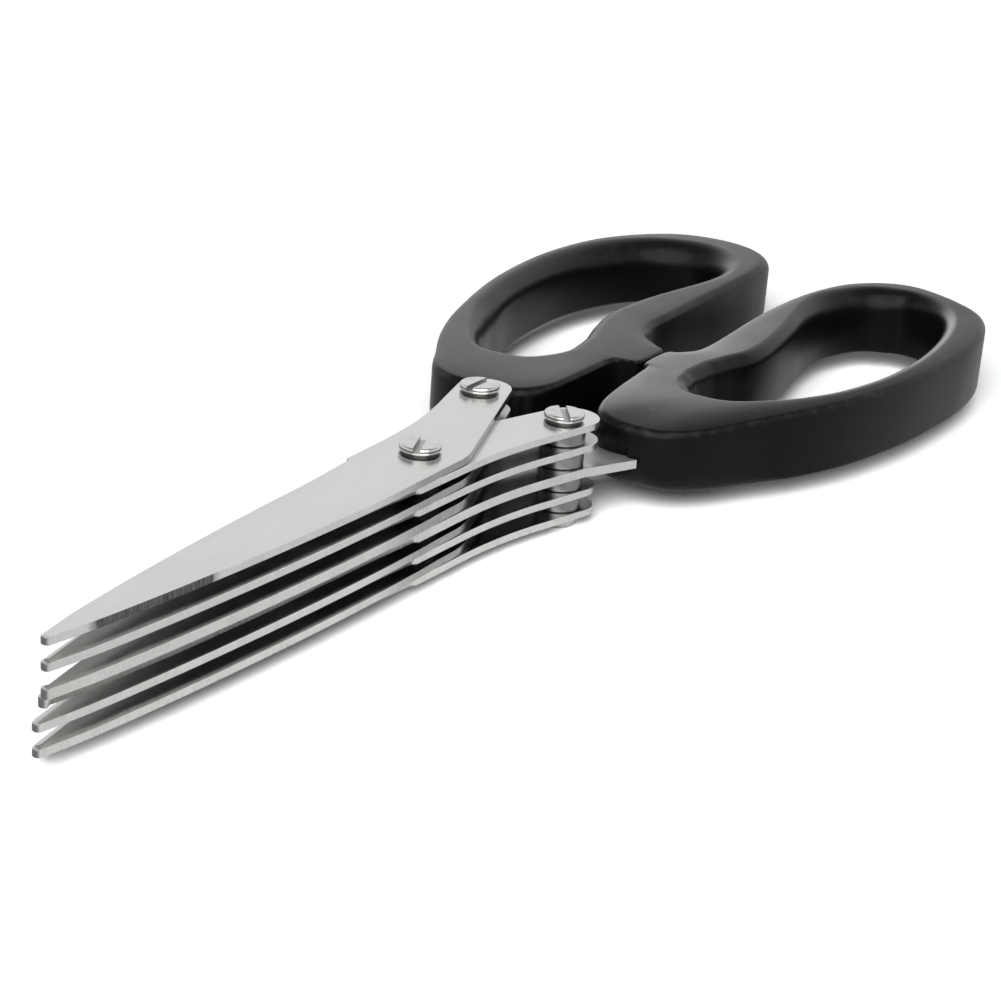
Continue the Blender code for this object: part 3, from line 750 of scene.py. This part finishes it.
def blade(set_name, level, side, materials):
    """One blade: a flat contact face towards its partner, and a cutting edge ground on the other face. The
    materials are those of an open face, the sides and a face inside the stack."""
    name = f"blade_{set_name}_{level}"
    low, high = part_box(name)
    length = blade_length(set_name, level)
    points, grind, wear = blade_points(length, blade_turn(set_name, level), level == MIDDLE_PAIR)
    contact, away = (low.z, high.z) if set_name == "a" else (high.z, low.z)
    up = math.copysign(1, away - contact)
    depth = abs(away - contact)
    chamfers = [CUTTING_CHAMFER if ground else RIM_CHAMFER for ground in grind]

    def outline(height, chamfer_share):
        slope = max(0, height - EDGE_LAND) / (depth - EDGE_LAND)
        from_rim = min(height, depth - height)
        distances = [
            g * slope + max(c * chamfer_share, worn_away(w, from_rim))
            for g, c, w in zip(grind, chamfers, wear)
        ]
        return mirrored(inset(points, distances), side), contact + up * height

    lower_rings = [(0, 1), (RIM_CHAMFER, 0), (EDGE_LAND, 0), (TIP_WEAR_RADIUS, 0)]
    upper_rings = [(depth - height, share) for height, share in reversed(lower_rings)]
    bm = bmesh.new()
    outer = [ring_at(bm, *outline(height, share)) for height, share in lower_rings + upper_rings]
    join_rings(bm, outer, SIDE)
    bottoms = [outer[0]]
    tops = [outer[-1]]
    for center, radius in (
        (Vector((0, 0)), PIVOT_RADIUS + BORE_CLEARANCE),
        (Vector((-TANG_BACK, TANG_SPREAD * side)), TANG_SCREW_RADIUS + BORE_CLEARANCE),
    ):
        rings = []
        for height, share in ((0, 1), (RIM_CHAMFER, 0), (depth - RIM_CHAMFER, 0), (depth, 1)):
            rings.append(ring_at(bm, circle(radius + RIM_CHAMFER * share, center), contact + up * height))
        join_rings(bm, rings, SIDE)
        bottoms.append(rings[0])
        tops.append(rings[-1])
    open_contact = level == 1 and up < 0
    open_back = level == 1 and up > 0
    cap(bm, bottoms, OPEN_FACE if open_contact else INNER_FACE)
    cap(bm, tops, OPEN_FACE if open_back else INNER_FACE)
    obj = finish(f"steel_{name}", bm, materials)
    place_piece(obj, f"set_{set_name}", name)


def place_piece(obj, body, name):
    """Make a piece move with its body, and hide the node of the CAD that it stands for."""
    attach(obj, body)
    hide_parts(name)


# Fasteners

def turned(profile):
    """A closed turned solid from a profile of (radius, z) points."""
    bm = bmesh.new()
    rings = []
    for radius, z in profile:
        if radius:
            rings.append(ring_at(bm, circle(radius), z))
        else:
            rings.append([bm.verts.new((0, 0, z))])
    pairs = list(zip(rings, rings[1:]))
    if len(rings[0]) > 1:
        pairs.append((rings[-1], rings[0]))
    for low, high in pairs:
        for i in range(CIRCLE_STEPS):
            j = (i + 1) % CIRCLE_STEPS
            if len(low) == 1:
                bm.faces.new((low[0], high[j], high[i]))
            elif len(high) == 1:
                bm.faces.new((low[i], low[j], high[0]))
            else:
                bm.faces.new((low[i], low[j], high[j], high[i]))
    return bm


def box(size, center):
    """A plain box to cut with."""
    bm = bmesh.new()
    bmesh.ops.create_cube(bm, size=1)
    bmesh.ops.scale(bm, vec=size, verts=bm.verts)
    bmesh.ops.translate(bm, vec=center, verts=bm.verts)
    return bm


def node_center(name):
    """The point on a round node's axis at the height of the rest plane."""
    low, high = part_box(name)
    return Vector(((low.x + high.x) / 2, (low.y + high.y) / 2, 0))


def screw(name, body, shank_radius, seat, slot_angle, steels):
    """A slotted screw: flat top, rounded shoulder, thin groove, lower band and undercut, with a plain shank.
    The steels are those of the head, of its slot, darkened as painted shade, and of the groove, undercut and
    shank, darkened most as painted shade."""
    low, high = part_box(name)
    top = high.z
    shoulder_center = Vector((HEAD_RADIUS - HEAD_BEVEL, top - HEAD_BEVEL))
    shoulder = arc(shoulder_center, HEAD_BEVEL, 0, math.pi / 2, CORNER_STEPS)
    profile = [(0, low.z), (shank_radius, low.z), (shank_radius, seat)]
    profile += [(radius * MM, seat + height * MM) for radius, height in HEAD_POINTS]
    profile += [(p.x, p.y) for p in shoulder]
    profile += [(HEAD_FLAT_RADIUS, top), (0, top)]
    bm = turned(profile)
    for face in bm.faces:
        # Painted shade: the undercut and the groove get the darkest steel
        height = face.calc_center_median().z - seat
        shaded = height < HEAD_UNDERCUT_TOP or HEAD_GROOVE[0] < height < HEAD_GROOVE[1]
        face.material_index = SHADE_STEEL if shaded else HEAD_STEEL
    obj = finish(f"steel_{name}", bm, steels)
    slot_length = 2 * (HEAD_RADIUS + CUT_OVERRUN)
    slot_height = SLOT_DEPTH + CUT_OVERRUN
    bm = box((slot_length, SLOT_WIDTH, slot_height), (0, 0, top - SLOT_DEPTH + slot_height / 2))
    # The slot's faces get darker steel, painted shade in the recess
    for face in bm.faces:
        face.material_index = SLOT_STEEL
    cutter = finish("slot", bm, steels)
    cutter.rotation_euler = (0, 0, slot_angle)
    cut(obj, cutter)
    obj.data.shade_smooth()
    obj.data.set_sharp_from_angle(angle=SHARP_ANGLE)
    obj.location = node_center(name)
    place_piece(obj, body, name)


def nut(name, body, shank_radius, steel):
    """A low round nut with a blind bore and a rounded lower edge."""
    low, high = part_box(name)
    radius = (high.x - low.x) / 2
    bore = shank_radius + BORE_CLEARANCE
    bend = radius - NUT_EDGE_RADIUS
    corner = arc(Vector((bend, NUT_EDGE_RADIUS)), NUT_EDGE_RADIUS, -math.pi / 2, 0, CORNER_STEPS)
    profile = [(0, 0)] + [(p.x, p.y) for p in corner]
    profile += [
        (radius, high.z - RING_CHAMFER),
        (radius - RING_CHAMFER, high.z),
        (bore, high.z),
        (bore, NUT_FLOOR),
        (0, NUT_FLOOR),
    ]
    obj = finish(f"steel_{name}", turned(profile), [steel])
    obj.location = node_center(name)
    place_piece(obj, body, name)


def collar(name, body, shank_radius, steel):
    """A round spacer or washer with small chamfers."""
    low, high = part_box(name)
    radius = (high.x - low.x) / 2
    bore = shank_radius + BORE_CLEARANCE
    profile = [
        (radius - RING_CHAMFER, low.z),
        (radius, low.z + RING_CHAMFER),
        (radius, high.z - RING_CHAMFER),
        (radius - RING_CHAMFER, high.z),
        (bore, high.z),
        (bore, low.z),
    ]
    obj = finish(f"steel_{name}", turned(profile), [steel])
    obj.location = node_center(name)
    place_piece(obj, body, name)


# Handles

def loop_stations(shares, length, reach, side):
    """Outer wall and hole wall points, in matched pairs round a finger loop."""
    def place(x, y):
        return Vector((HANDLE_FRONT - x * length, y * reach * side))

    outer = spline([place(a, b) for a, b, _, _ in shares], LOOP_SUBDIVISIONS, True)
    hole = spline([place(c, d) for _, _, c, d in shares], LOOP_SUBDIVISIONS, True)
    return list(zip(outer, hole))


def rear_share(rearward):
    """How far into the soft rear end a place lies, from its share of the handle's length."""
    return (rearward - HANDLE_REAR_START) / (1 - HANDLE_REAR_START)


def keel_radius(behind_front, rearward):
    """Radius of the lower outer shoulder, which grows towards the handle's front and its rear end."""
    nearness = max(0, 1 - behind_front / HANDLE_KEEL_REACH)
    front_radius = HANDLE_LOWER_RADIUS + (HANDLE_KEEL_RADIUS - HANDLE_LOWER_RADIUS) * nearness
    return blend(front_radius, HANDLE_REAR_LOWER_RADIUS, rear_share(rearward))


def tangent_length(before, corner, after, radius):
    """How much of each run the arc at a corner takes."""
    half = (before - corner).angle(after - corner) / 2
    return radius / math.tan(half)


def blend(start, end, share):
    """A value between two others, with a soft start and end."""
    share = min(max(share, 0), 1)
    return start + (end - start) * share * share * (3 - 2 * share)


def handle_section(set_name, width, keel, outward, rearward, bottom, top):
    """One section across a loop, from the wall of its hole over the sloping top to its outer wall and back
    below: points across and up, and how much each is rubbed. The rim of the hole is softer at the rear."""
    rear_softness = blend(0, 1, (rearward - HANDLE_SOFT_RIM_START) / (1 - HANDLE_SOFT_RIM_START))
    softness = blend(rear_softness, HANDLE_OUTER_SOFTNESS[set_name], outward)
    slope = blend(HANDLE_SLOPES[set_name], HANDLE_OUTER_SLOPES[set_name], outward)
    slope = blend(slope, HANDLE_LEAST_SLOPE, rear_softness)
    slope = blend(HANDLE_LEAST_SLOPE, slope, outward / HANDLE_FLAT_END)
    hole_radius = HANDLE_RIM_RADIUS + (HANDLE_SOFT_RIM_RADIUS - HANDLE_RIM_RADIUS) * softness
    crease_radius = blend(HANDLE_CREASE_RADIUS, HANDLE_REAR_CREASE_RADIUS, rear_share(rearward))
    crease_radius = blend(HANDLE_LUG_CREASE_RADIUS, crease_radius, outward / HANDLE_LUG_END)
    fit = min(1, HANDLE_FIT_SHARE * width / (hole_radius + crease_radius))
    hole_radius *= fit
    crease_radius *= fit
    crown = hole_radius + (width - hole_radius - crease_radius) * HANDLE_CROWN_SHARE
    corners = [
        Vector((0, top)),
        Vector((crown, top - slope * crown * HANDLE_CROWN_SLOPE_SHARE)),
        Vector((width, top - slope * width)),
        Vector((width, bottom)),
        Vector((0, bottom)),
    ]
    radii = [hole_radius, 0, crease_radius, keel, HANDLE_LOWER_RADIUS]
    befores = corners[-1:] + corners[:-1]
    afters = corners[1:] + corners[:1]
    taken = [tangent_length(*corner) for corner in zip(befores, corners, afters, radii)]
    free = min(
        (corners[1] - corners[0]).length - taken[0],
        (corners[2] - corners[1]).length - taken[2],
    )
    half = (corners[0] - corners[1]).angle(corners[2] - corners[1]) / 2
    radii[1] = HANDLE_CROWN_ROUND_SHARE * free * math.tan(half)
    points = []
    for before, corner, after, radius, rub in zip(befores, corners, afters, radii, HANDLE_RUBS):
        for step, p in enumerate(rounded_corner(before, corner, after, radius, CORNER_STEPS)):
            middle = 1 - abs(2 * step / CORNER_STEPS - 1)
            points.append((p, rub * middle))
    return points


def handle(set_name, shares, length, reach, side, plastic):
    """One finger loop with a soft hole rim, a crowned top and a crisp outer crease, slotted for its stem."""
    name = f"handle_{set_name}"
    low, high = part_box(name)
    bm = bmesh.new()
    rub_layer = bm.verts.layers.float.new("rub")
    rings = []
    for outer, hole in loop_stations(shares, length, reach, side):
        across = (outer - hole).normalized()
        ring = []
        width = (outer - hole).length
        outward = outer.y * side / reach
        behind_front = HANDLE_FRONT - outer.x
        rearward = behind_front / length
        keel = keel_radius(behind_front, rearward)
        for p, rub in handle_section(set_name, width, keel, outward, rearward, low.z, high.z):
            place = hole + across * p.x
            vert = bm.verts.new((place.x, place.y, p.y))
            vert[rub_layer] = rub
            ring.append(vert)
        rings.append(ring)
    join_rings(bm, rings + rings[:1])
    obj = finish(f"plastic_{name}", bm, [plastic])
    stem_low, stem_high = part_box(f"blade_{set_name}_{MIDDLE_PAIR}")
    stem_outer, stem_inner, stem_back = stem_sides()
    front = -SHOULDER_BACK + CUT_OVERRUN
    back = -stem_back - SLOT_CLEARANCE
    size = (
        front - back,
        stem_outer - stem_inner + 2 * SLOT_CLEARANCE,
        stem_high.z - stem_low.z + 2 * SLOT_CLEARANCE,
    )
    center = ((front + back) / 2, side * (stem_outer + stem_inner) / 2, (stem_low.z + stem_high.z) / 2)
    cut(obj, finish("slot", box(size, center), [plastic]))
    place_piece(obj, f"set_{set_name}", name)


# Stage

def make_floor():
    """A large white floor in the plane that the nuts rest on."""
    bm = bmesh.new()
    bmesh.ops.create_grid(bm, x_segments=1, y_segments=1, size=FLOOR_SIZE / 2)
    floor = finish("floor", bm, [floor_material()])
    floor.location = (0, 0, -FLOOR_DROP)


def lamp(name, strength, angle, direction):
    """A soft lamp far away in the given direction."""
    light = bpy.data.lights.new(name, "SUN")
    light.energy = strength
    light.angle = angle
    made = bpy.data.objects.new(name, light)
    made.rotation_mode = "QUATERNION"
    made.rotation_quaternion = direction.to_track_quat("Z", "Y")
    bpy.context.scene.collection.objects.link(made)
    return made


def background(tree, strength):
    """A white background of the given strength."""
    made = node(tree, "ShaderNodeBackground", {"Color": WHITE, "Strength": strength})
    return made.outputs["Background"]


def make_lights():
    """A white surround under a greyer ceiling, a soft key lamp above the camera with a wider one for the
    highlights, and a low lamp behind for each handle, which only adds sheen to it: handle_b has more."""
    world = bpy.data.worlds.new("studio")
    world.use_nodes = True
    bpy.context.scene.world = world
    tree = world.node_tree
    rays = node(tree, "ShaderNodeLightPath").outputs
    direction = node(tree, "ShaderNodeTexCoord").outputs["Generated"]
    height = node(tree, "ShaderNodeSeparateXYZ", {"Vector": direction}).outputs["Z"]
    mirrored_strength = spread(tree, height, 1.0, CEILING_STRENGTH, CEILING_START, CEILING_END)
    tree.nodes.remove(tree.nodes["Background"])
    ambient = background(tree, AMBIENT_STRENGTH)
    reflected = background(tree, mirrored_strength)
    white = background(tree, 1.0)
    mirrored = calculate(tree, "ADD", rays["Is Glossy Ray"], rays["Is Transmission Ray"], clamp=True)
    unseen = node(tree, "ShaderNodeMixShader", {0: mirrored, 1: ambient, 2: reflected}).outputs["Shader"]
    mixed = node(tree, "ShaderNodeMixShader", {0: rays["Is Camera Ray"], 1: unseen, 2: white})
    tree.links.new(mixed.outputs["Shader"], tree.nodes["World Output"].inputs["Surface"])
    lamp("key", KEY_STRENGTH, KEY_ANGLE, KEY_FROM).visible_glossy = False
    lamp("gloss", GLOSS_STRENGTH, GLOSS_ANGLE, GLOSS_FROM).visible_diffuse = False
    for set_name, strength in SHEEN_STRENGTHS.items():
        sheen = lamp(f"sheen_{set_name}", strength, SHEEN_ANGLE, SHEEN_FROM)
        sheen.visible_diffuse = False
        lit = bpy.data.collections.new(f"lit_by_sheen_{set_name}")
        lit.objects.link(bpy.data.objects[f"plastic_handle_{set_name}"])
        sheen.light_linking.receiver_collection = lit


def make_camera():
    """The camera of the photograph."""
    level = math.cos(CAMERA_ELEVATION)
    towards = Vector((
        level * math.cos(CAMERA_AZIMUTH),
        level * math.sin(CAMERA_AZIMUTH),
        math.sin(CAMERA_ELEVATION),
    ))
    right = (-towards).cross(Vector((0, 0, 1))).normalized()
    up = right.cross(-towards)
    x_axis = right * math.cos(CAMERA_ROLL) + up * math.sin(CAMERA_ROLL)
    y_axis = up * math.cos(CAMERA_ROLL) - right * math.sin(CAMERA_ROLL)
    data = bpy.data.cameras.new("camera")
    data.sensor_width = SENSOR_WIDTH
    data.lens = SENSOR_WIDTH * CAMERA_FOCUS_PIXELS / IMAGE_SIDE
    data.shift_x = (IMAGE_SIDE / 2 - IMAGE_CENTER.x) / IMAGE_SIDE
    data.shift_y = (IMAGE_CENTER.y - IMAGE_SIDE / 2) / IMAGE_SIDE
    data.clip_start = CLIP_START
    data.clip_end = CLIP_END
    camera = bpy.data.objects.new("camera", data)
    rotation = Matrix((x_axis, y_axis, towards)).transposed()
    camera.matrix_world = Matrix.Translation(CAMERA_TARGET + towards * CAMERA_DISTANCE) @ rotation.to_4x4()
    bpy.context.scene.collection.objects.link(camera)
    bpy.context.scene.camera = camera


def build():
    """Dress the whole object."""
    face = blade_face_material("blade_face_steel", False)
    inner_face = blade_face_material("blade_inner_face_steel_painted_shade", True)
    edge = blade_edge_material("blade_edge_steel", False, False)
    shaded_coarse_edge = blade_edge_material("blade_edge_steel_shaded_coarse_heel", True, False)
    hatched_edge = blade_edge_material("blade_edge_steel_hatched", True, True)
    bright_steel = turned_steel_material("bright_turned_steel", *BRIGHT_STEEL)
    shaded_spacer_steel = turned_steel_material("spacer_steel_painted_shade", *SPACER_SHADE_STEEL)
    shaded_slot_steel = turned_steel_material("slot_steel_painted_shade", *SLOT_SHADE_STEEL)
    painted_shade_steel = turned_steel_material("turned_steel_painted_shade", *RECESS_SHADE_STEEL)
    screw_steels = [bright_steel, shaded_slot_steel, painted_shade_steel]
    plastic = plastic_material()
    for level in range(1, PAIRS + 1):
        blade("a", level, A_SIDE, [face, hatched_edge if level == 1 else shaded_coarse_edge, inner_face])
        blade("b", level, B_SIDE, [face, edge, inner_face])
    seat_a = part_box("blade_a_1")[1].z + SEAT_CLEARANCE
    seat_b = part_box("blade_b_1")[1].z + SEAT_CLEARANCE
    screw("pivot_screw", "set_b", PIVOT_RADIUS, seat_a, PIVOT_SLOT_ANGLE, screw_steels)
    screw("screw_a", "set_a", TANG_SCREW_RADIUS, seat_a, SCREW_A_SLOT_ANGLE, screw_steels)
    screw("screw_b", "set_b", TANG_SCREW_RADIUS, seat_b, SCREW_B_SLOT_ANGLE, screw_steels)
    nut("pivot_nut", "set_b", PIVOT_RADIUS, bright_steel)
    nut("nut_a", "set_a", TANG_SCREW_RADIUS, bright_steel)
    nut("nut_b", "set_b", TANG_SCREW_RADIUS, bright_steel)
    # Spacers and washers get steel darkened as painted shade between the blades
    for level in range(1, PAIRS):
        collar(f"spacer_a_{level}", "set_a", TANG_SCREW_RADIUS, shaded_spacer_steel)
        collar(f"spacer_b_{level}", "set_b", TANG_SCREW_RADIUS, shaded_spacer_steel)
        collar(f"pivot_washer_{level}", "set_b", PIVOT_RADIUS, shaded_spacer_steel)
    handle("a", LOOP_A_SHARES, HANDLE_A_LENGTH, HANDLE_A_REACH, A_SIDE, plastic)
    handle("b", LOOP_B_SHARES, HANDLE_B_LENGTH, HANDLE_B_REACH, B_SIDE, plastic)
    make_floor()
    make_lights()
    make_camera()


build()
bpy.context.scene.view_settings.view_transform = "Standard"
